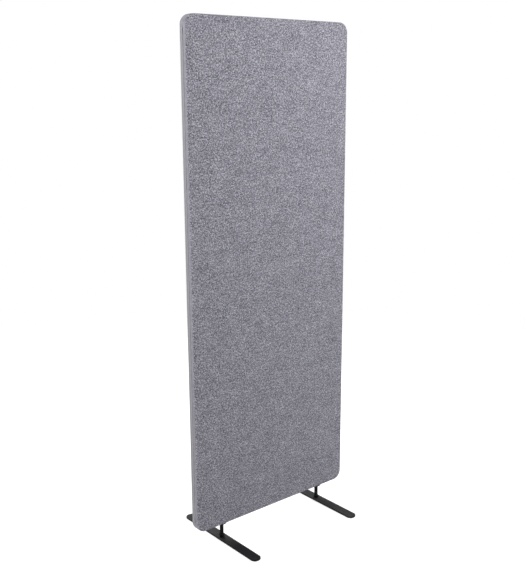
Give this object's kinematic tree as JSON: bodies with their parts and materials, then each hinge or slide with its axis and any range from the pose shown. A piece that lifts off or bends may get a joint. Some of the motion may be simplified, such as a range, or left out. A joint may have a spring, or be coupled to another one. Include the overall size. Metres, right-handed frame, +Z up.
{
  "type": "partition wall",
  "caption": "Free-standing fabric-covered acoustic partition panel with rounded corners, a zip along each side edge and flat steel feet on short posts.",
  "frame": {"origin": "on the floor, under the middle of the panel", "axes": "+X across the panel to the right as its front is faced, +Y to its back, +Z up"},
  "size_m": [0.6214, 0.364, 1.5785],
  "materials": {
    "cover_fabric": "mottled grey heather felt weave",
    "edge_fabric": "smooth light grey plain weave",
    "felt_board": "pressed felt",
    "timber": "planed softwood",
    "acoustic_wool": "polyester wool",
    "black_steel": "satin black powder coat",
    "plated_steel": "zinc plated",
    "pad_rubber": "matt",
    "zip_tape": "fine herringbone tape",
    "zip_nylon": "nylon, colour matched",
    "zip_metal": "dark grey enamel"
  },
  "bodies": {
    "panel": {"front_cover": "cover_fabric", "back_cover": "cover_fabric", "edge_band": "edge_fabric", "front_felt_board": "felt_board", "back_felt_board": "felt_board", "left_stile": "timber", "right_stile": "timber", "top_rail": "timber", "bottom_rail": "timber", "corner_blocks": "timber", "lower_cross_rail": "timber", "upper_cross_rail": "timber", "corner_dowels": "timber", "cross_rail_dowels": "timber", "bottom_wool_batt": "acoustic_wool", "middle_wool_batt": "acoustic_wool", "top_wool_batt": "acoustic_wool", "left_post_socket": "black_steel", "right_post_socket": "black_steel", "socket_screws": "black_steel", "left_zip_tape": "zip_tape", "right_zip_tape": "zip_tape", "left_zip_coil": "zip_nylon", "right_zip_coil": "zip_nylon", "zip_top_stops": "zip_metal", "zip_insertion_pin": "zip_nylon", "zip_retainer_box": "zip_nylon"},
    "left_foot": {"left_foot_bar": "black_steel", "left_post": "black_steel", "left_post_collar": "black_steel", "left_foot_screw": "plated_steel", "left_foot_pads": "pad_rubber"},
    "right_foot": {"right_foot_bar": "black_steel", "right_post": "black_steel", "right_post_collar": "black_steel", "right_foot_screw": "plated_steel", "right_foot_pads": "pad_rubber"},
    "zip_slider": {"zip_slider_body": "zip_metal", "zip_slider_bail": "zip_metal"},
    "zip_pull": {"zip_pull_tab": "zip_metal"}
  },
  "joints": [
    {"name": "left_foot_turn", "type": "hinge", "parent": "panel", "child": "left_foot", "pos_m": [-0.204, 0, 0.0515], "axis": [0, 0, 1], "range_deg": [-90, 90]},
    {"name": "right_foot_turn", "type": "hinge", "parent": "panel", "child": "right_foot", "pos_m": [0.204, 0, 0.0515], "axis": [0, 0, 1], "range_deg": [-90, 90]},
    {"name": "zip_slide", "type": "slide", "parent": "panel", "child": "zip_slider", "axis": [0, 0, 1], "range_m": [0, 1.428]},
    {"name": "pull_swing", "type": "hinge", "parent": "zip_slider", "child": "zip_pull", "pos_m": [0.3108, -0.0015, 0.1035], "axis": [0, -1, 0], "range_deg": [0, 170]}
  ]
}
